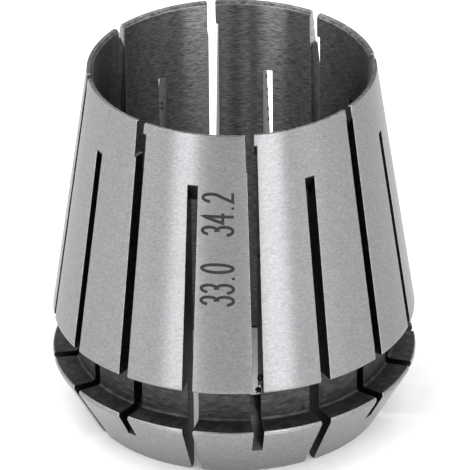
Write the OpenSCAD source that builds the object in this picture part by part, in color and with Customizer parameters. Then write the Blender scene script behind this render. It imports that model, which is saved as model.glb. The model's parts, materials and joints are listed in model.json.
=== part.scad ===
// Spring collet: a bored and double tapered sleeve, sawn from both ends so that its wall can flex.
// It stands on its nose face at z = 0, with the bore along +Z and one rim slot at -Y.

/* [Bore] */
// Diameter of the through bore that grips the shank
bore_d = 25; // [18:0.5:32]
// Width of the chamfer at each end of the bore
bore_chamfer = 0.25; // [0.1:0.05:0.35]

/* [Main taper] */
// Overall length, from the nose face to the small end of the taper
collet_len = 34.2; // [28:0.1:42]
// Half angle of the main taper, in degrees
taper_angle = 8; // [7:0.25:10]
// Wall left between the bore and the taper at the small end
rim_wall = 0.555; // [0.5:0.005:1.5]
// Edge break at the taper's small end
rim_break = 0.1; // [0.05:0.01:0.12]
// Edge break at the taper's large end
foot_break = 0.3; // [0.1:0.05:0.4]

/* [Nose] */
// Height from the nose face to the top of the lip
nose_len = 5.8; // [5:0.1:6.5]
// How far the lip stands out past the large end of the main taper
lip_proud = 0.05; // [0:0.01:0.3]
// Height of the cylindrical land on the lip
lip_land = 0.4; // [0.2:0.05:1]
// Edge break at the top of the lip
lip_break = 0.08; // [0.05:0.01:0.15]
// Half angle of the nose cone, in degrees
nose_angle = 30; // [26:0.5:31]
// Radius round the nose face
nose_round = 0.15; // [0.05:0.01:0.2]

/* [Extraction groove] */
// Width of the groove between the lip and the main taper
groove_w = 3.9; // [3:0.1:5]
// Depth of the groove below the lip
groove_depth = 2.2; // [1.5:0.05:2.6]
// Fillet radius at the groove's two inner corners
groove_fillet = 0.2; // [0.1:0.05:0.6]

/* [Slots] */
// Number of slots sawn from each end
slots_per_end = 8; // [4:1:10]
// Width of a slot
slot_w = 1; // [0.85:0.05:1.2]
// Height of the nose left uncut below a rim slot, at its outer surface
nose_web = 3.2; // [2:0.1:4]
// Length of the rim left uncut above a nose slot, at its outer surface
rim_web = 4.8; // [3:0.1:8]
// Diameter of the slitting saw, which leaves the ends of the slots curved
saw_d = 50; // [40:1:63]
// How far the saw's edge reaches in past the bore wall
saw_reach = 2.8; // [1.5:0.1:4]

/* [Rim slits] */
// Step left on each side where a slit is narrower than its slot, with the two in line
slit_step = 0.08; // [0.05:0.01:0.12]
// Length of the slit between the rim and its slot, at its outer surface
slit_len = 1; // [0.6:0.1:2]
// How far the slits run down past the ends of their slots in the bore
slit_overrun = 1.1; // [0.5:0.1:2]
// How far the common axis of the slits lies beside the axis of the bore
slit_shift = 0.25; // [0.2:0.01:0.3]
// Direction of that shift, in degrees from -Y towards +X
slit_shift_turn = 225; // [0:45:315]

/* [Hidden] */
$fn = 128;
fillet_steps = 4;
round_steps = 3;
overcut = 2;

bore_r = bore_d/2;
rim_r = bore_r + rim_wall;
taper_z = nose_len + groove_w;
taper_r = rim_r + (collet_len - taper_z)*tan(taper_angle);
lip_r = taper_r + lip_proud;
groove_r = lip_r - groove_depth;
cone_z = nose_len - lip_land;
face_r = lip_r - cone_z*tan(nose_angle);
saw_r = saw_d/2;
saw_axis_r = bore_r - saw_reach + saw_r;
slot_pitch = 360/slots_per_end;
slit_w = slot_w - 2*slit_step;
reach_r = lip_r + overcut;
slit_axis = slit_shift*[sin(slit_shift_turn), -cos(slit_shift_turn), 0];

// Heights of the saw's axis at the two ends of a rim slot and at the end of a nose slot
rim_low_z = nose_web + saw_rise(nose_r_at(nose_web));
rim_high_z = saw_z_below(collet_len - slit_len);
nose_high_z = saw_z_below(collet_len - rim_web);
slit_z = rim_high_z + saw_rise(bore_r) - slit_overrun;

// Radius of the main taper at height z
function taper_r_at(z) = taper_r - (z - taper_z)*tan(taper_angle);

// Radius of the nose cone at height z
function nose_r_at(z) = face_r + z*tan(nose_angle);

// Height that the saw reaches above or below its axis, at radius r
function saw_rise(r) = sqrt(saw_r*saw_r - (saw_axis_r - r)*(saw_axis_r - r));

// Height of the saw's axis that ends a slot at height z on the main taper
function saw_z_below(z) = z - saw_rise(taper_r_at(z));

function unit(v) = v/norm(v);

// Points that round the corner at p, between a and b, to radius r
function rounded(a, p, b, r, steps) =
    let (
        u = unit(a - p),
        v = unit(b - p),
        half = acos(u*v)/2,
        centre = p + unit(u + v)*r/sin(half),
        from = p + u*r/tan(half) - centre,
        to = p + v*r/tan(half) - centre,
        turn = (180 - 2*half)*sign(from.x*to.y - from.y*to.x)
    )
    [for (i = [0:steps])
        let (angle = turn*i/steps)
        centre + [from.x*cos(angle) - from.y*sin(angle), from.x*sin(angle) + from.y*cos(angle)]];

// Points of a flat edge break at p, its ends at distance e from p towards a and b
function broken(a, p, b, e) = [p + unit(a - p)*e, p + unit(b - p)*e];

// Half section of the turned blank, from the bore's nose end round the outside and back down the bore
function blank_section() =
    let (
        bore_nose = [bore_r, bore_chamfer],
        face_in = [bore_r + bore_chamfer, 0],
        face_out = [face_r, 0],
        land_low = [lip_r, cone_z],
        land_top = [lip_r, nose_len],
        floor_low = [groove_r, nose_len],
        floor_top = [groove_r, taper_z],
        taper_low = [taper_r, taper_z],
        taper_top = [rim_r, collet_len],
        rim_in = [bore_r + bore_chamfer, collet_len],
        bore_rim = [bore_r, collet_len - bore_chamfer]
    )
    concat(
        [bore_nose, face_in],
        rounded(face_in, face_out, land_low, nose_round, round_steps),
        [land_low],
        broken(land_low, land_top, floor_low, lip_break),
        rounded(land_top, floor_low, floor_top, groove_fillet, fillet_steps),
        rounded(floor_low, floor_top, taper_low, groove_fillet, fillet_steps),
        broken(floor_top, taper_low, taper_top, foot_break),
        broken(taper_low, taper_top, rim_in, rim_break),
        [rim_in, bore_rim]
    );

module turned_blank() {
    rotate_extrude() polygon(blank_section());
}

// The saw at one height on the -Y side, cutting a slot of width w
module saw_plunge(z, w) {
    translate([-w/2, -saw_axis_r, z]) rotate([0, 90, 0]) cylinder(r = saw_r, h = w);
}

// A straight cut on the -Y side from height z0 to z1, through the wall
module straight_cut(z0, z1, w) {
    translate([-w/2, -reach_r, z0]) cube([w, reach_r - (saw_axis_r - saw_r), z1 - z0]);
}

// Slot that starts in the nose cone and ends just short of the rim
module rim_slot() {
    saw_plunge(rim_low_z, slot_w);
    saw_plunge(rim_high_z, slot_w);
    straight_cut(min(rim_low_z, rim_high_z), max(rim_low_z, rim_high_z), slot_w);
}

// Slit that a thinner saw cut down through the rim to open a rim slot
module rim_slit() {
    straight_cut(slit_z, collet_len + overcut, slit_w);
}

// Slot that is open at the nose face and ends short of the rim
module nose_slot() {
    saw_plunge(nose_high_z, slot_w);
    straight_cut(-overcut, nose_high_z, slot_w);
}

module collet() {
    color("silver")
    difference() {
        turned_blank();
        for (i = [0:slots_per_end - 1]) {
            rotate([0, 0, i*slot_pitch]) rim_slot();
            translate(slit_axis) rotate([0, 0, i*slot_pitch]) rim_slit();
            rotate([0, 0, (i + 0.5)*slot_pitch]) nose_slot();
        }
    }
}

collet();
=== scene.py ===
import json
import math

import bpy
from mathutils import Matrix, Vector, noise


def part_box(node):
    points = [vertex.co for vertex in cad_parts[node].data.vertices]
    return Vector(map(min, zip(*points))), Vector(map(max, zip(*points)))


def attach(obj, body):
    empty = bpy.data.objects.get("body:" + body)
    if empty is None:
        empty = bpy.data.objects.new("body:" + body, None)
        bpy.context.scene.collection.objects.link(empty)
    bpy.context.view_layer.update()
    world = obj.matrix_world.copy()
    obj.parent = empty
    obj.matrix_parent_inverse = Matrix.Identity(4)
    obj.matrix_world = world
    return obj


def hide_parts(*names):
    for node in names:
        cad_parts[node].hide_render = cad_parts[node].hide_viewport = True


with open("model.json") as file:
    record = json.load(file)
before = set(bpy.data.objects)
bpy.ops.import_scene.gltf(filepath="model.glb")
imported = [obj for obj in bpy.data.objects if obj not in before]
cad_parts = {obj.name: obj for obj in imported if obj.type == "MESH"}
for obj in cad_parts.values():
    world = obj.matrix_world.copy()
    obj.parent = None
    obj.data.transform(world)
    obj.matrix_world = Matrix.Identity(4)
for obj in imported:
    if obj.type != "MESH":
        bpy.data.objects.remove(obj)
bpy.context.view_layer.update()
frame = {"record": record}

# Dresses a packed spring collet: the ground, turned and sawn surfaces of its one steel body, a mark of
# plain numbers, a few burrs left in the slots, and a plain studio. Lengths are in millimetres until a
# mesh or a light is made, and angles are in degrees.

MM = 0.001

# Sizes of the collet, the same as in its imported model
slot_w = 1.0
nose_len = 5.8
groove_w = 3.9
lip_proud = 0.05
lip_land = 0.4
nose_angle = 30.0
groove_depth = 2.2
bore_chamfer = 0.25
rim_wall = 0.555
slots_per_end = 8
nose_web = 3.2
rim_web = 4.8
saw_r = 25.0
saw_reach = 2.8
slit_step = 0.08
slit_len = 1.0
slit_overrun = 1.1
slit_shift = 0.25
slit_shift_turn = 225.0

# Radii of the rounded corners of the section, and height of the slightly darker, more speckled band at the
# foot of the taper
nose_round = 0.15
groove_fillet = 0.25
lip_round = 0.12
foot_round = 0.25
rim_round = 0.05
chamfer_round = 0.05
land_round = 0.2
foot_band = 0.5

# Width of the broken edge along every slot, how far that varies, and how much it grows at a corner. Each
# wall is inset by about half the width, which leaves the slot's mean width at the skin as it is.
edge_break = 0.06
wall_inset = 0.035
edge_waver = 0.6
corner_break = 0.1
corner_reach = 0.3
end_inset = 0.8*edge_break

box_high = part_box("collet")[1]
collet_len = box_high.z/MM
half_width = box_high.x/MM
bore_mount = next(m for m in frame["record"]["mounts"] if m["name"] == "bore")
bore_r = bore_mount["dims"]["r_mm"]

lip_r = math.hypot(half_width, slot_w/2)
taper_r = lip_r - lip_proud
groove_r = lip_r - groove_depth
rim_r = bore_r + rim_wall
taper_z = nose_len + groove_w
cone_z = nose_len - lip_land
face_r = lip_r - cone_z*math.tan(math.radians(nose_angle))
saw_axis_r = bore_r - saw_reach + saw_r
slot_pitch = 360/slots_per_end
slit_w = slot_w - 2*slit_step
wall_y = slot_w/2 - wall_inset


def taper_r_at(z):
    """Radius of the main taper at height z."""
    return taper_r + (rim_r - taper_r)*(z - taper_z)/(collet_len - taper_z)


def nose_r_at(z):
    """Radius of the nose cone at height z."""
    return face_r + (lip_r - face_r)*z/cone_z


def saw_rise(r):
    """Height that the slitting saw reaches above or below its axis, at radius r."""
    return math.sqrt(saw_r**2 - (saw_axis_r - r)**2)


# Heights of the saw's axis at the ends of the slots, and of the slits' lower ends
rim_slot_z = collet_len - slit_len
nose_slot_z = collet_len - rim_web
rim_saw_low = nose_web + saw_rise(nose_r_at(nose_web))
rim_saw_high = rim_slot_z - saw_rise(taper_r_at(rim_slot_z))
nose_saw_high = nose_slot_z - saw_rise(taper_r_at(nose_slot_z))
slit_z = rim_saw_high + saw_rise(bore_r) - slit_overrun

# The surfaces that can end a slot or a slit: the height of each at radius r
ENDS = {
    "rim_low": lambda r: rim_saw_low - saw_rise(r),
    "rim_top": lambda r: rim_saw_high + saw_rise(r),
    "nose_top": lambda r: nose_saw_high + saw_rise(r),
    "ledge": lambda r: slit_z,
}
END_FACES = {"rim_low": 1, "rim_top": -1, "nose_top": -1, "ledge": 1}
END_RADII = {
    "rim_low": nose_r_at(nose_web),
    "rim_top": taper_r_at(rim_slot_z),
    "nose_top": taper_r_at(nose_slot_z),
    "ledge": taper_r_at(slit_z),
}
END_STEPS = 12


# Section

ZONES = ["ground", "foot", "lip", "cone", "groove", "rim", "chamfer", "bore", "slot", "slit", "edge"]
GROUND, FOOT, LIP, CONE, GROOVE, RIM, CHAMFER, BORE, SLOT, SLIT, EDGE = range(len(ZONES))


class Row:
    """One ring of the skin: its place in the section, its outward normal and the zone that starts at it."""

    def __init__(self, r, z, nr, nz, zone, tag=None):
        self.r, self.z, self.nr, self.nz, self.zone, self.tag = r, z, nr, nz, zone, tag
        self.corner = 0.0


def corner_rows(before, corner, after, radius, steps, zone):
    """Rows round one corner of the section, which runs counter-clockwise."""
    p = Vector(corner)
    u = (Vector(before) - p).normalized()
    v = (Vector(after) - p).normalized()
    half = math.acos(max(-1, min(1, u.dot(v))))/2
    start = p + u*radius/math.tan(half)
    normal_in = Vector((-u.y, u.x))
    normal_out = Vector((v.y, -v.x))
    sign = 1 if u.x*v.y - u.y*v.x < 0 else -1
    centre = start - normal_in*radius*sign
    turn = normal_in.angle_signed(normal_out)
    rows = []
    for i in range(steps + 1):
        n = Matrix.Rotation(-turn*i/steps, 2) @ normal_in
        q = centre + n*radius*sign
        rows.append(Row(q.x, q.y, n.x, n.y, zone))
    return rows


def section_rows():
    """All rows, from the bore's nose end round the outside and back down the bore."""
    slope = (collet_len - taper_z)/math.hypot(collet_len - taper_z, taper_r - rim_r)
    drop = edge_break*slope
    nose_drop = edge_break*math.cos(math.radians(nose_angle))
    # Each corner: place, radius, steps, its own zone, zone of the edge after it, row spacing, stops on it
    corners = [
        ((bore_r, bore_chamfer), chamfer_round, 3, BORE, CHAMFER, 1.0, {}),
        ((bore_r + bore_chamfer, 0), chamfer_round, 3, RIM, RIM, 1.0, {}),
        ((face_r, 0), nose_round, 5, CONE, CONE, 0.6,
         {"rim_low_out": nose_web - nose_drop}),
        ((lip_r, cone_z), land_round, 3, LIP, LIP, 0.6, {}),
        ((lip_r, nose_len), lip_round, 5, LIP, GROOVE, 0.5, {}),
        ((groove_r, nose_len), groove_fillet, 7, GROOVE, GROOVE, 0.5, {}),
        ((groove_r, taper_z), groove_fillet, 7, GROOVE, GROOVE, 0.5, {}),
        ((taper_r, taper_z), foot_round, 6, FOOT, FOOT, 0.6,
         {"foot_top": taper_z + foot_band, "nose_top_out": nose_slot_z + drop,
          "ledge_out": slit_z - drop, "rim_top_out": rim_slot_z + drop}),
        ((rim_r, collet_len), rim_round, 4, GROUND, RIM, 1.0, {}),
        ((bore_r + bore_chamfer, collet_len), chamfer_round, 3, RIM, CHAMFER, 1.0, {}),
        ((bore_r, collet_len - bore_chamfer), chamfer_round, 3, EDGE, BORE, 0.6,
         {"rim_top_bore": ENDS["rim_top"](bore_r) + edge_break, "ledge_bore": slit_z - edge_break,
          "nose_top_bore": ENDS["nose_top"](bore_r) + edge_break,
          "rim_low_bore": ENDS["rim_low"](bore_r) - edge_break}),
    ]
    count = len(corners)
    rounded = [corner_rows(corners[i - 1][0], corners[i][0], corners[(i + 1) % count][0],
                           corners[i][1], corners[i][2], corners[i][3]) for i in range(count)]
    rows = []
    for i in range(count):
        zone, spacing, stops = corners[i][4:]
        rows += rounded[i]
        first, last = rounded[i][-1], rounded[(i + 1) % count][0]
        first.zone = zone
        length = math.hypot(last.r - first.r, last.z - first.z)
        pieces = math.ceil(length/spacing)
        marks = {k/pieces: None for k in range(1, pieces)}
        for tag, z in stops.items():
            place = (z - first.z)/(last.z - first.z)
            marks = {m: t for m, t in marks.items() if t or abs(m - place)*length > spacing/4}
            marks[place] = tag
        for place, tag in sorted(marks.items()):
            if tag == "foot_top":
                zone = GROUND
                tag = None
            rows.append(Row(first.r + (last.r - first.r)*place, first.z + (last.z - first.z)*place,
                            first.nr, first.nz, zone, tag))
    return rows


def mark_corners(rows):
    """Notes how near each row lies to a turned corner where the slots' edges are rounded off."""
    for r, z in ((rim_r, collet_len), (taper_r, taper_z), (lip_r, nose_len), (face_r, 0)):
        for row in rows:
            near = 1 - math.hypot(row.r - r, row.z - z)/corner_reach
            row.corner = max(row.corner, near)


rows = section_rows()
mark_corners(rows)
row_count = len(rows)
row_at = {row.tag: j for j, row in enumerate(rows) if row.tag}


def end_point(name, share):
    """A point (r, z) of a slot's end, from the outside at share 0 to the bore at share 1."""
    outer_r = END_RADII[name] - end_inset
    r = outer_r + (bore_r + end_inset - outer_r)*share
    return r, ENDS[name](r)


def end_slope(name, r):
    """Normal (radial, vertical) of a slot's end at radius r."""
    step = 0.01
    rise = (ENDS[name](r + step) - ENDS[name](r - step))/(2*step)
    face = END_FACES[name]
    return Vector((-rise*face, face)).normalized()


def sunk_point(j, names):
    """A point (r, z) just under the skin at row j, where a slot's wall or one of the named ends begins."""
    row = rows[j]
    if row.tag:
        name, side = row.tag.rsplit("_", 1)
        if name in names:
            return end_point(name, 0 if side == "out" else 1)
    return row.r - row.nr*edge_break, row.z - row.nz*edge_break


# Slots and columns of the skin

class Side:
    """One side of a rim slot: where its slot wall and its slit wall lie, and which end joins them."""

    def __init__(self, sign, offset):
        self.sign = sign
        self.slot_y = sign*wall_y
        self.slit_y = offset + sign*(slit_w/2 - wall_inset)
        self.over = sign*self.slit_y > sign*self.slot_y
        self.end = "ledge" if self.over else "rim_top"

    def lines(self):
        """Wall planes from the slot's middle outwards, each with its kind."""
        pair = [("slot", self.slot_y), ("slit", self.slit_y)]
        return sorted(pair, key=lambda line: abs(line[1]))


class Column:
    """One line of the skin along the section: a wall's edge in a slot, or a share between two slots."""

    def __init__(self, azimuth, sunk_y=None, sign=0, span=None):
        self.azimuth, self.sunk_y, self.sign, self.span = azimuth, sunk_y, sign, span

    def offset(self, j):
        """Distance of the skin's edge from the slot's middle plane at row j."""
        row = rows[j]
        # The noise has cells about 0.4 mm long, and each edge has its own
        cell = Vector((row.r*3, row.z*2.2, self.azimuth*7 + self.sunk_y*3))
        grow = 1 + edge_waver*noise.noise(cell)
        return self.sunk_y + self.sign*(edge_break*grow + corner_break*row.corner**2)

    def angle(self, j):
        """Azimuth of the skin at row j, in radians, from -Y towards +X."""
        if self.span:
            left, right, share = self.span
            start = left.angle(j)
            end = right.angle(j)
            if end < start:
                end += 2*math.pi
            return start + (end - start)*share
        return math.radians(self.azimuth) + math.asin(self.offset(j)/rows[j].r)


class Slot:
    """One slot, its columns' first index and, for a rim slot, its two sides."""

    def __init__(self, kind, azimuth):
        self.kind, self.azimuth = kind, azimuth
        if kind == "rim":
            offset = slit_shift*math.sin(math.radians(slit_shift_turn - azimuth))
            self.sides = [Side(-1, offset), Side(1, offset)]
            left = [line[1] for line in self.sides[0].lines()][::-1]
            right = [line[1] for line in self.sides[1].lines()]
            self.walls = left + [0.0] + right
        else:
            self.sides = []
            self.walls = [-wall_y, 0.0, wall_y]
        middle = len(self.walls)//2
        self.columns = [Column(azimuth, y, (k > middle) - (k < middle)) for k, y in enumerate(self.walls)]
        self.first = 0


SPAN_STEPS = 16


def make_slots():
    """The slots in order round the collet, and all the skin's columns."""
    slots = []
    for i in range(slots_per_end):
        slots.append(Slot("rim", i*slot_pitch))
        slots.append(Slot("nose", (i + 0.5)*slot_pitch))
    columns = []
    for slot, after in zip(slots, slots[1:] + slots[:1]):
        slot.first = len(columns)
        columns += slot.columns
        left, right = slot.columns[-1], after.columns[0]
        columns += [Column(0, span=(left, right, k/SPAN_STEPS)) for k in range(1, SPAN_STEPS)]
    return slots, columns


slots, columns = make_slots()
column_count = len(columns)


# Mesh

class Builder:
    """Collects vertices, faces, a normal for each face corner, and zones."""

    def __init__(self):
        self.points, self.faces, self.normals, self.zones = [], [], [], []

    def point(self, x, y, z):
        """Adds a point and returns its index."""
        self.points.append(Vector((x, y, z)))
        return len(self.points) - 1

    def face(self, corners, normals, zone):
        """Adds a face, turned so that it looks the way its normals do."""
        area = Vector((0, 0, 0))
        for a, b in zip(corners, corners[1:] + corners[:1]):
            area += self.points[a].cross(self.points[b])
        mean = sum(normals, Vector((0, 0, 0)))
        if area.dot(mean) < 0:
            corners, normals = corners[::-1], normals[::-1]
        self.faces.append(corners)
        self.normals.append(normals)
        self.zones.append(zone)

    def drop_unused(self):
        """Leaves out the points that no face uses."""
        used = sorted({i for face in self.faces for i in face})
        place = {old: i for i, old in enumerate(used)}
        self.points = [self.points[i] for i in used]
        self.faces = [[place[i] for i in face] for face in self.faces]


def around(first, last):
    """Rows from first to last, going round, both ends included."""
    return [(first + k) % row_count for k in range((last - first) % row_count + 1)]


def open_run(name):
    """Rows through which a slot or slit is open: round the nose face, or over the rim."""
    if name == "nose":
        return around(row_at["nose_top_bore"], row_at["nose_top_out"])
    if name == "rim":
        return around(row_at["rim_low_out"], row_at["rim_low_bore"])
    return around(row_at[name + "_out"], row_at[name + "_bore"])


def removed_cells(slot):
    """Cells (row, column) of the skin that a slot cuts away."""
    if slot.kind == "nose":
        return {(j, slot.first + k) for j in open_run("nose")[:-1] for k in (0, 1)}
    whole = set(open_run("rim")[:-1])
    cells = {(j, slot.first + k) for j in whole for k in (1, 2)}
    for side, k in zip(slot.sides, (0, 3)):
        slit = set(open_run(side.end)[:-1])
        gap = slit if side.over else whole - slit
        cells |= {(j, slot.first + k) for j in gap}
    return cells


def build_body():
    """The skin of the collet, opened for the slots, with the edges, walls and ends of each slot."""
    b = Builder()
    skin = [[None]*column_count for _ in rows]
    skin_normal = [[None]*column_count for _ in rows]
    for j, row in enumerate(rows):
        for c, column in enumerate(columns):
            a = column.angle(j)
            skin_normal[j][c] = Vector((row.nr*math.sin(a), -row.nr*math.cos(a), row.nz))
            skin[j][c] = b.point(row.r*math.sin(a), -row.r*math.cos(a), row.z)

    removed = set().union(*(removed_cells(slot) for slot in slots))
    for j in range(row_count):
        j2 = (j + 1) % row_count
        for c in range(column_count):
            if (j, c) in removed:
                continue
            c2 = (c + 1) % column_count
            cell = [(j, c), (j, c2), (j2, c2), (j2, c)]
            b.face([skin[p][q] for p, q in cell], [skin_normal[p][q] for p, q in cell], rows[j].zone)

    for slot in slots:
        SlotBuilder(b, skin, skin_normal, slot).build()
    b.drop_unused()
    return b


class SlotBuilder:
    """Adds the broken edges, walls and ends of one slot to the body."""

    def __init__(self, b, skin, skin_normal, slot):
        self.b, self.skin, self.skin_normal, self.slot = b, skin, skin_normal, slot
        a = math.radians(slot.azimuth)
        self.outward = Vector((math.sin(a), -math.cos(a), 0))
        self.across = Vector((math.cos(a), math.sin(a), 0))
        self.sunk = {}

    def place(self, r, z, y):
        """Adds a point at radius r and height z, y from the slot's middle plane."""
        return self.b.point(*(self.outward*math.sqrt(r*r - y*y) + self.across*y + Vector((0, 0, z))))

    def names(self, k):
        """Ends that the wall at column k of this slot runs into."""
        if self.slot.kind == "nose":
            return ("nose_top",)
        if k < 2:
            return ("rim_low", self.slot.sides[0].end)
        if k > 2:
            return ("rim_low", self.slot.sides[1].end)
        return ("rim_low",)

    def sunk_at(self, j, k):
        """The point under the skin where the wall at column k begins at row j, added once."""
        if (j, k) not in self.sunk:
            r, z = sunk_point(j, self.names(k))
            self.sunk[j, k] = self.place(r, z, self.slot.walls[k])
        return self.sunk[j, k]

    def edge_strip(self, run, k, normal):
        """Broken edge along a wall, at column k."""
        c = self.slot.first + k
        for j, j2 in zip(run, run[1:]):
            zone = EDGE if rows[j].zone in (GROUND, FOOT, LIP, CONE, RIM) else rows[j].zone
            self.b.face([self.skin[j][c], self.skin[j2][c], self.sunk_at(j2, k), self.sunk_at(j, k)],
                        [self.skin_normal[j][c], self.skin_normal[j2][c], normal, normal], zone)

    def end_normal(self, name, r):
        """Normal of a slot's end at radius r."""
        radial, rise = end_slope(name, r)
        return (self.outward*radial + Vector((0, 0, rise))).normalized()

    def end(self, name, k0, k1):
        """The strip that ends a slot between columns k0 and k1, and its points for each column."""
        row_out, row_bore = row_at[name + "_out"], row_at[name + "_bore"]
        path = [end_point(name, step/END_STEPS) for step in range(END_STEPS + 1)]
        lines = {}
        for k in range(k0, k1 + 1):
            inner = [self.place(r, z, self.slot.walls[k]) for r, z in path[1:-1]]
            lines[k] = [self.sunk_at(row_out, k)] + inner + [self.sunk_at(row_bore, k)]
        normals = [self.end_normal(name, r) for r, z in path]
        zone = SLIT if name == "ledge" else SLOT
        for k in range(k0, k1):
            a, b = lines[k], lines[k + 1]
            for i in range(END_STEPS):
                self.b.face([a[i], b[i], b[i + 1], a[i + 1]],
                            [normals[i], normals[i], normals[i + 1], normals[i + 1]], zone)
            c = self.slot.first + k
            for j, normal, edge_zone in ((row_out, normals[0], SLOT), (row_bore, normals[-1], BORE)):
                skin, skin_normal = self.skin[j], self.skin_normal[j]
                self.b.face([skin[c], skin[c + 1], self.sunk_at(j, k + 1), self.sunk_at(j, k)],
                            [skin_normal[c], skin_normal[c + 1], normal, normal], edge_zone)
        return lines

    def wall(self, points, normal, zone):
        """Adds one flat face."""
        self.b.face(points, [normal]*len(points), zone)

    def build(self):
        """Adds all that belongs to the slot."""
        if self.slot.kind == "nose":
            run = open_run("nose")
            lines = self.end("nose_top", 0, 2)
            for k, normal in ((0, self.across), (2, -self.across)):
                self.edge_strip(run, k, normal)
                self.wall([self.sunk_at(j, k) for j in run] + lines[k][1:-1], normal, SLOT)
            return
        first = 1 if self.slot.sides[0].over else 0
        last = 3 if self.slot.sides[1].over else 4
        low = self.end("rim_low", first, last)
        for side, outer, inner in zip(self.slot.sides, (0, 4), (1, 3)):
            self.build_side(side, outer, inner, low)

    def build_side(self, side, outer, inner, low):
        """Walls and edges on one side of a rim slot."""
        normal = -side.sign*self.across
        slot_k, slit_k = (inner, outer) if side.over else (outer, inner)
        step = self.end(side.end, min(outer, inner), max(outer, inner))
        out_j, bore_j = row_at[side.end + "_out"], row_at[side.end + "_bore"]
        outer_run = around(row_at["rim_low_out"], out_j)
        bore_run = around(bore_j, row_at["rim_low_bore"])
        slit_run = around(out_j, bore_j)
        self.edge_strip(outer_run, slot_k, normal)
        self.edge_strip(bore_run, slot_k, normal)
        self.edge_strip(slit_run, slit_k, normal)
        self.wall([self.sunk_at(j, slot_k) for j in outer_run] + step[slot_k][1:-1]
                  + [self.sunk_at(j, slot_k) for j in bore_run] + low[slot_k][1:-1][::-1], normal, SLOT)
        self.wall([self.sunk_at(j, slit_k) for j in slit_run] + step[slit_k][1:-1][::-1], normal, SLIT)


def to_object(name, builder, materials, smooth=True):
    """A linked object with the builder's mesh, in metres, and the normals that it holds, if any."""
    mesh = bpy.data.meshes.new(name)
    mesh.from_pydata([p*MM for p in builder.points], [], builder.faces)
    for material in materials:
        mesh.materials.append(material)
    mesh.polygons.foreach_set("material_index", builder.zones)
    mesh.polygons.foreach_set("use_smooth", [smooth]*len(mesh.polygons))
    if builder.normals:
        mesh.normals_split_custom_set([n.normalized() for face in builder.normals for n in face])
    mesh.update()
    obj = bpy.data.objects.new(name, mesh)
    bpy.context.scene.collection.objects.link(obj)
    return obj


# Materials

class Steel:
    """A steel whose colour, roughness and bump follow procedural patterns in the object's own space."""

    def __init__(self, name, color, roughness, anisotropic=0.0, metallic=1.0):
        self.material = bpy.data.materials.new(name)
        self.material.use_nodes = True
        self.tree = self.material.node_tree
        self.shader = self.tree.nodes["Principled BSDF"]
        self.shader.inputs["Base Color"].default_value = (*color, 1)
        self.shader.inputs["Metallic"].default_value = metallic
        self.shader.inputs["Roughness"].default_value = roughness
        self.shader.inputs["Anisotropic"].default_value = anisotropic
        self.color = color
        self.place = self.node("ShaderNodeTexCoord").outputs["Object"]
        if anisotropic:
            tangent = self.node("ShaderNodeTangent", direction_type="RADIAL", axis="Z")
            self.link(tangent.outputs["Tangent"], self.shader.inputs["Tangent"])
            self.shader.inputs["Anisotropic Rotation"].default_value = 0.25

    def node(self, kind, **settings):
        node = self.tree.nodes.new(kind)
        for key, value in settings.items():
            setattr(node, key, value)
        return node

    def link(self, source, target):
        self.tree.links.new(source, target)

    def ramp(self, value, low=0.0, high=1.0, start=0.0, end=1.0):
        """Straight ramp from start, where the value is low, to end, where it is high."""
        ramp = self.node("ShaderNodeMapRange")
        ramp.inputs["From Min"].default_value = low
        ramp.inputs["From Max"].default_value = high
        ramp.inputs["To Min"].default_value = start
        ramp.inputs["To Max"].default_value = end
        self.link(value, ramp.inputs["Value"])
        return ramp.outputs["Result"]

    def noise(self, across, along, detail, seed, contrast=(0.3, 0.7)):
        """Noise with so many cells per millimetre across x and y and along z, ramped over its contrast."""
        mapping = self.node("ShaderNodeMapping")
        mapping.inputs["Scale"].default_value = (across/MM, across/MM, along/MM)
        mapping.inputs["Location"].default_value = (seed, seed*1.7, seed*2.3)
        self.link(self.place, mapping.inputs["Vector"])
        texture = self.node("ShaderNodeTexNoise")
        texture.inputs["Scale"].default_value = 1.0
        texture.inputs["Detail"].default_value = detail
        self.link(mapping.outputs["Vector"], texture.inputs["Vector"])
        return self.ramp(texture.outputs["Fac"], *contrast)

    def height(self, low, high):
        """Pattern that runs from 0 at one height to 1 at another."""
        split = self.node("ShaderNodeSeparateXYZ")
        self.link(self.place, split.inputs["Vector"])
        return self.ramp(split.outputs["Z"], low*MM, high*MM)

    def tint(self, layers):
        """Base colour, multiplied by one grey per layer, which runs from its dark to its light value."""
        greys = [self.ramp(pattern, start=dark, end=light) for pattern, dark, light in layers]
        grey = greys[0]
        for factor in greys[1:]:
            product = self.node("ShaderNodeMath", operation="MULTIPLY")
            self.link(grey, product.inputs[0])
            self.link(factor, product.inputs[1])
            grey = product.outputs["Value"]
        mix = self.node("ShaderNodeVectorMath", operation="SCALE")
        mix.inputs[0].default_value = self.color
        self.link(grey, mix.inputs["Scale"])
        self.link(mix.outputs["Vector"], self.shader.inputs["Base Color"])

    def rough(self, pattern, low, high):
        """Roughness that follows a pattern from its low to its high value."""
        self.link(self.ramp(pattern, start=low, end=high), self.shader.inputs["Roughness"])

    def bump(self, pattern, height):
        """Bump whose pattern is so many millimetres high."""
        bump = self.node("ShaderNodeBump")
        bump.inputs["Distance"].default_value = height*MM
        bump.inputs["Strength"].default_value = 1.0
        self.link(pattern, bump.inputs["Height"])
        self.link(bump.outputs["Normal"], self.shader.inputs["Normal"])


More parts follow.
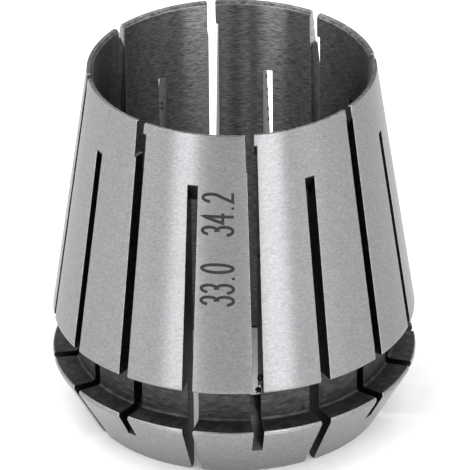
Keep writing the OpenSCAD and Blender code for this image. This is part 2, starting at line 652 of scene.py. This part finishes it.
def ground_steel(name, color, roughness, anisotropic, specks=0.75, grain=0.16):
    """Finely ground steel: an even grain, faint lines round the axis and a few dull spots."""
    steel = Steel(name, color, roughness, anisotropic)
    fine = steel.noise(3.2, 6.5, 2.0, 0.0)
    lines = steel.noise(0.5, 8.0, 2.0, 11.0)
    mottle = steel.noise(1.1, 1.6, 4.0, 3.0)
    spots = steel.noise(3.0, 5.0, 2.0, 5.0, (0.22, 0.32))
    steel.tint([(fine, 1 - grain, 1 + grain), (lines, 0.975, 1.025), (mottle, 0.96, 1.04),
                (spots, specks, 1.0)])
    steel.rough(mottle, roughness*0.96, roughness*1.04)
    steel.bump(lines, 0.0015)
    return steel.material


def groove_steel():
    """Turned steel, darker, with an uneven bump that breaks up its highlights."""
    steel = Steel("groove_steel", (0.066, 0.066, 0.069), 0.5, 0.5)
    lines = steel.noise(0.6, 9.0, 3.0, 1.0)
    mottle = steel.noise(1.4, 2.4, 4.0, 4.0)
    steel.tint([(lines, 0.75, 1.3), (mottle, 0.65, 1.35)])
    steel.bump(mottle, 0.03)
    return steel.material


def bore_steel():
    """Bored steel with short fine streaks round the axis, and painted shade that darkens it towards the
    nose, deeper in the bore.
    """
    steel = Steel("bore_steel", (0.27, 0.27, 0.276), 0.3, 1.0)
    streaks = steel.noise(1.8, 15.0, 3.0, 2.0)
    patches = steel.noise(1.5, 3.0, 3.0, 7.0)
    # The height layer is painted shade: the colour grows darker from the rim down towards the nose, where
    # less light reaches into the bore.
    steel.tint([(streaks, 0.34, 1.66), (patches, 0.92, 1.08), (steel.height(12, 34), 0.64, 1.12)])
    steel.bump(streaks, 0.003)
    return steel.material


def rough_steel(name, color, roughness, specks, spread, grazing=1.0):
    """Sawn or turned steel, blotched and speckled, whose gloss at a grazing angle can be lowered."""
    steel = Steel(name, color, roughness)
    steel.shader.inputs["Specular Tint"].default_value = (grazing, grazing, grazing, 1)
    blotches = steel.noise(2.0, 2.5, 4.0, 6.0)
    spots = steel.noise(4.0, 4.0, 2.0, 8.0, (0.28, 0.36))
    steel.tint([(blotches, 1 - spread, 1 + spread), (spots, specks, 1.0)])
    steel.bump(blotches, 0.01)
    return steel.material


MATERIALS = {
    "ground": ground_steel("ground_steel", (0.325, 0.325, 0.334), 0.38, 1.0, 0.75, 0.14),
    "foot": ground_steel("foot_steel", (0.31, 0.31, 0.315), 0.4, 0.9, 0.5, 0.14),
    "lip": ground_steel("lip_steel", (0.31, 0.31, 0.315), 0.38, 0.9),
    "cone": ground_steel("cone_steel", (0.31, 0.31, 0.315), 0.3, 0.7),
    "groove": groove_steel(),
    "rim": ground_steel("rim_steel", (0.26, 0.26, 0.265), 0.25, 1.0, 0.3, 0.45),
    "chamfer": rough_steel("chamfer_steel", (0.1, 0.1, 0.103), 0.45, 0.3, 0.6),
    "bore": bore_steel(),
    "slot": rough_steel("slot_steel", (0.038, 0.038, 0.04), 0.4, 0.2, 0.4, 0.87),
    "slit": rough_steel("slit_steel", (0.3, 0.3, 0.305), 0.35, 0.4, 0.3),
    "edge": ground_steel("edge_steel", (0.42, 0.42, 0.425), 0.35, 0.0, 0.5, 0.3),
}

body = to_object("collet_body", build_body(), [MATERIALS[zone] for zone in ZONES])
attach(body, "root")
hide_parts("collet")


# Mark of plain numbers on the main taper

# Azimuths of the mark's edges, the height at which its width is measured, and the lowest and highest point
# of each number
mark_left = -19.1
mark_right = -7.0
mark_z = 22.0
mark_spans = [(18.27, 22.18), (24.9, 28.85)]

# Width of a stroke and of the gap between characters, how far a stroke stands out of the taper and reaches
# into it, its longest straight piece, and how far an open end runs on, as a share of half the width
mark_stroke = 0.28
mark_gap = 0.28
mark_proud = 0.012
mark_sunk = 0.03
mark_piece = 0.3
mark_cap = 0.6


def arc(x, y, rx, ry, start, end, steps=14):
    """Points of an elliptic arc, counter-clockwise from +X, in degrees."""
    return [(x + rx*math.cos(math.radians(start + (end - start)*i/steps)),
             y + ry*math.sin(math.radians(start + (end - start)*i/steps))) for i in range(steps + 1)]


# Strokes of each character in a box 1 wide and 1 high
STROKES = {
    "2": [arc(0.5, 0.7, 0.42, 0.3, 165, -35) + [(0.06, 0.0), (0.96, 0.0)]],
    "3": [arc(0.5, 0.75, 0.4, 0.25, 160, -80) + arc(0.48, 0.27, 0.46, 0.27, 80, -160)],
    "4": [[(0.72, 0.0), (0.72, 1.0), (0.04, 0.33), (1.0, 0.33)]],
    "0": [arc(0.5, 0.5, 0.44, 0.5, 90, 450, 28)],
    ".": [[(0.44, 0.0), (0.56, 0.0)]],
}
WIDTHS = {"2": 0.82, "3": 0.82, "4": 0.86, "0": 0.8, ".": 0.5}


def divided(points, step):
    """The same line with no piece longer than step."""
    line = points[:1]
    for p, q in zip(points, points[1:]):
        pieces = math.ceil(math.dist(p, q)/step)
        for i in range(1, pieces + 1):
            line.append((p[0] + (q[0] - p[0])*i/pieces, p[1] + (q[1] - p[1])*i/pieces))
    return line


def ribbon(b, points, half):
    """A closed raised strip along points (azimuth arc length, z) on the main taper."""
    closed = math.dist(points[0], points[-1]) < 1e-6
    points = divided(points, mark_piece)
    if closed:
        points = points[:-1]
    count = len(points)
    rims = []
    for i, (x, z) in enumerate(points):
        p = Vector((x, z))
        before = Vector(points[i - 1]) if closed or i else None
        after = Vector(points[(i + 1) % count]) if closed or i < count - 1 else None
        u = (p - before).normalized() if before else (after - p).normalized()
        v = (after - p).normalized() if after else u
        side = Vector((-(u + v).y, (u + v).x)).normalized()
        reach = half/max(0.5, side.dot(Vector((-u.y, u.x))))
        cap = Vector((0, 0))
        if not after:
            cap = u*half*mark_cap
        elif not before:
            cap = v*half*-mark_cap
        rims.append([surface(b, p + cap + side*reach*turn, height)
                     for turn in (1, -1) for height in (mark_proud, -mark_sunk)])
    for i in range(count if closed else count - 1):
        a, c = rims[i], rims[(i + 1) % count]
        for p, q in ((0, 2), (2, 3), (3, 1), (1, 0)):
            b.faces.append([a[p], a[q], c[q], c[p]])
    if not closed:
        b.faces.append([rims[0][k] for k in (0, 1, 3, 2)])
        b.faces.append([rims[-1][k] for k in (2, 3, 1, 0)])


def surface(b, p, height):
    """A point over the main taper: p.x is the arc length from the mark's right end, p.y the height."""
    r = taper_r_at(p.y)
    a = math.radians(mark_right) + p.x/taper_r_at(mark_z)
    return b.point((r + height)*math.sin(a), -(r + height)*math.cos(a), p.y)


def build_mark():
    """The taper's diameter and the collet's length, read upwards, with the digits' tops to the left."""
    b = Builder()
    half = mark_stroke/2
    tall = math.radians(mark_right - mark_left)*taper_r_at(mark_z) - mark_stroke
    for size, (start_z, end_z) in zip((2*taper_r, collet_len), mark_spans):
        text = f"{size:.1f}"
        scale = (end_z - start_z - mark_gap*(len(text) - 1))/sum(WIDTHS[ch] for ch in text)
        z = start_z
        for ch in text:
            for stroke in STROKES[ch]:
                ribbon(b, [(-y*tall - half, z + x*WIDTHS[ch]*scale) for x, y in stroke], half)
            z += WIDTHS[ch]*scale + mark_gap
    b.zones = [0]*len(b.faces)
    return b


def mark_steel():
    """Dull, nearly black surface of the mark."""
    steel = Steel("mark_steel", (0.025, 0.025, 0.027), 0.7, metallic=0.2)
    steel.shader.inputs["Specular IOR Level"].default_value = 0.25
    blotches = steel.noise(3.0, 4.0, 3.0, 9.0)
    steel.tint([(blotches, 0.7, 1.3)])
    return steel.material


mark = to_object("size_mark", build_mark(), [mark_steel()], smooth=False)
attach(mark, "root")


# Burrs on the walls of the slots

# Rings and sides of one burr's mesh, how ragged it is, and how many noise cells its radius spans
BURR_RINGS = 5
BURR_SIDES = 9
burr_rough = 0.45
burr_cells = 1.9
DARK, LIGHT = range(2)


def burr(b, azimuth, y, r, z, width, height, depth):
    """One ragged grain in the slot at that azimuth, y from its middle plane."""
    a = math.radians(azimuth)
    outward = Vector((math.sin(a), -math.cos(a), 0))
    across = Vector((math.cos(a), math.sin(a), 0))
    up = Vector((0, 0, 1))
    centre = outward*r + across*y + up*z
    seed = Vector((azimuth, z, r))
    first = len(b.points)
    for i in range(1, BURR_RINGS):
        tilt = math.pi*i/BURR_RINGS
        for k in range(BURR_SIDES):
            turn = 2*math.pi*k/BURR_SIDES
            shape = Vector((math.sin(tilt)*math.cos(turn), math.sin(tilt)*math.sin(turn), math.cos(tilt)))
            shape *= 1 + burr_rough*noise.noise(shape*burr_cells + seed)
            b.point(*(centre + across*shape.x*width/2 + outward*shape.y*depth/2 + up*shape.z*height/2))
    top = b.point(*(centre + up*height/2))
    low = b.point(*(centre - up*height/2))
    last = first + (BURR_RINGS - 2)*BURR_SIDES
    for k in range(BURR_SIDES):
        k2 = (k + 1) % BURR_SIDES
        b.faces.append([top, first + k2, first + k])
        b.faces.append([low, last + k, last + k2])
        for i in range(BURR_RINGS - 2):
            p = first + i*BURR_SIDES
            b.faces.append([p + k, p + k2, p + BURR_SIDES + k2, p + BURR_SIDES + k])


def build_burrs():
    """Chips in the front slot near the groove, and dark specks higher up in it and in two far slots."""
    b = Builder()
    for zone, azimuth, y, r, z, width, height, depth in (
            (DARK, 0, 0.27, 15.6, 10.9, 0.56, 0.8, 0.5),
            (DARK, 0, 0.32, 14.15, 8.82, 0.62, 0.42, 0.5),
            (LIGHT, 0, 0.28, 15.4, 10.0, 0.45, 0.4, 0.4),
            (LIGHT, 0, 0.35, 14.15, 8.52, 0.5, 0.25, 0.4),
            (DARK, 0, 0.44, 14.0, 22.5, 0.2, 0.26, 0.5),
            (DARK, 0, 0.44, 14.45, 21.9, 0.16, 0.3, 0.3),
            (DARK, 157.5, 0.46, 14.0, 25.9, 0.12, 0.5, 0.3),
            (DARK, 157.5, 0.46, 14.25, 24.35, 0.12, 0.3, 0.3),
            (DARK, 157.5, 0.46, 14.35, 23.5, 0.12, 0.3, 0.25),
            (DARK, 157.5, 0.46, 14.5, 22.2, 0.12, 0.4, 0.35),
            (DARK, 157.5, 0.46, 14.55, 21.1, 0.12, 0.3, 0.5),
            (DARK, 202.5, -0.46, 13.75, 23.96, 0.12, 0.22, 0.5),
            (DARK, 202.5, -0.46, 13.76, 23.43, 0.12, 0.28, 0.4)):
        before = len(b.faces)
        burr(b, azimuth, y, r, z, width, height, depth)
        b.zones += [zone]*(len(b.faces) - before)
    return b


burr_materials = [rough_steel("burr_steel", (0.02, 0.02, 0.02), 0.6, 0.3, 0.4),
                  rough_steel("chip_steel", (0.4, 0.4, 0.405), 0.5, 0.5, 0.3)]
burrs = to_object("saw_burrs", build_burrs(), burr_materials)
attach(burrs, "root")


# Camera

# Its angles and distance, its lens, and the point it looks at: aim_side to the right of the bore's axis as
# the camera sees it, and aim_z above the table
camera_azimuth = -7.465
camera_elevation = 29.355
camera_roll = -0.515
camera_distance = 800.0
camera_lens = 675.6
aim_side = 0.155
aim_z = 16.9


def aim(obj, place, back, roll=0.0):
    """Puts obj at place, looking along -back, turned by roll degrees about its own axis."""
    turn = back.to_track_quat("Z", "Y").to_matrix().to_4x4()
    obj.matrix_world = Matrix.Translation(place*MM) @ turn @ Matrix.Rotation(math.radians(roll), 4, "Z")


def direction(azimuth, elevation):
    """Unit vector from the collet towards an azimuth from -Y, positive to +X, and an elevation."""
    a, e = math.radians(azimuth), math.radians(elevation)
    return Vector((math.sin(a)*math.cos(e), -math.cos(a)*math.cos(e), math.sin(e)))


camera_data = bpy.data.cameras.new("camera")
camera = bpy.data.objects.new("camera", camera_data)
bpy.context.scene.collection.objects.link(camera)
camera_data.lens = camera_lens
camera_data.sensor_width = 36.0
camera_data.clip_start = 0.01
camera_data.clip_end = 10.0
target = direction(camera_azimuth + 90, 0)*aim_side
target.z = aim_z
back = direction(camera_azimuth, camera_elevation)
aim(camera, target + back*camera_distance, back, camera_roll)
bpy.context.scene.camera = camera


# Studio

light_distance = 900.0
low_elevation = 25.0
high_elevation = 58.0
floor_half = 3000.0


def softbox(name, azimuth, elevation, width, height, power):
    """A soft rectangular light that shines on the collet, its azimuth counted from the camera's."""
    light = bpy.data.lights.new(name, "AREA")
    light.shape = "RECTANGLE"
    light.size = width*MM
    light.size_y = height*MM
    light.energy = power
    obj = bpy.data.objects.new(name, light)
    bpy.context.scene.collection.objects.link(obj)
    obj.visible_camera = False
    towards = direction(camera_azimuth + azimuth, elevation)
    aim(obj, towards*light_distance, towards)


floor_reach = floor_half*MM
floor_corners = [(x*floor_reach, y*floor_reach, 0) for x, y in ((-1, -1), (1, -1), (1, 1), (-1, 1))]
floor_mesh = bpy.data.meshes.new("floor")
floor_mesh.from_pydata(floor_corners, [], [(0, 1, 2, 3)])
floor = bpy.data.objects.new("floor", floor_mesh)
bpy.context.scene.collection.objects.link(floor)
floor_material = bpy.data.materials.new("floor_paper")
floor_material.use_nodes = True
floor_shader = floor_material.node_tree.nodes["Principled BSDF"]
floor_shader.inputs["Base Color"].default_value = (0.9, 0.9, 0.9, 1)
floor_shader.inputs["Roughness"].default_value = 0.9
floor_mesh.materials.append(floor_material)

world = bpy.data.worlds.new("world")
world.use_nodes = True
world.node_tree.nodes["Background"].inputs["Color"].default_value = (0.42, 0.42, 0.42, 1)
bpy.context.scene.world = world
bpy.context.scene.view_settings.view_transform = "Standard"

softbox("left_light", -35, low_elevation, 260, 800, 2.57)
softbox("right_light", 27, low_elevation, 300, 800, 3.46)
for azimuth, power in ((-115, 0.48), (-150, 0.81), (150, 0.45), (55, 0.5)):
    softbox("side_light", azimuth, low_elevation, 400, 800, power)
for azimuth, power in ((90, 4.4), (-90, 6.05), (180, 1.3)):
    softbox("high_light", azimuth, high_elevation, 800, 800, power)
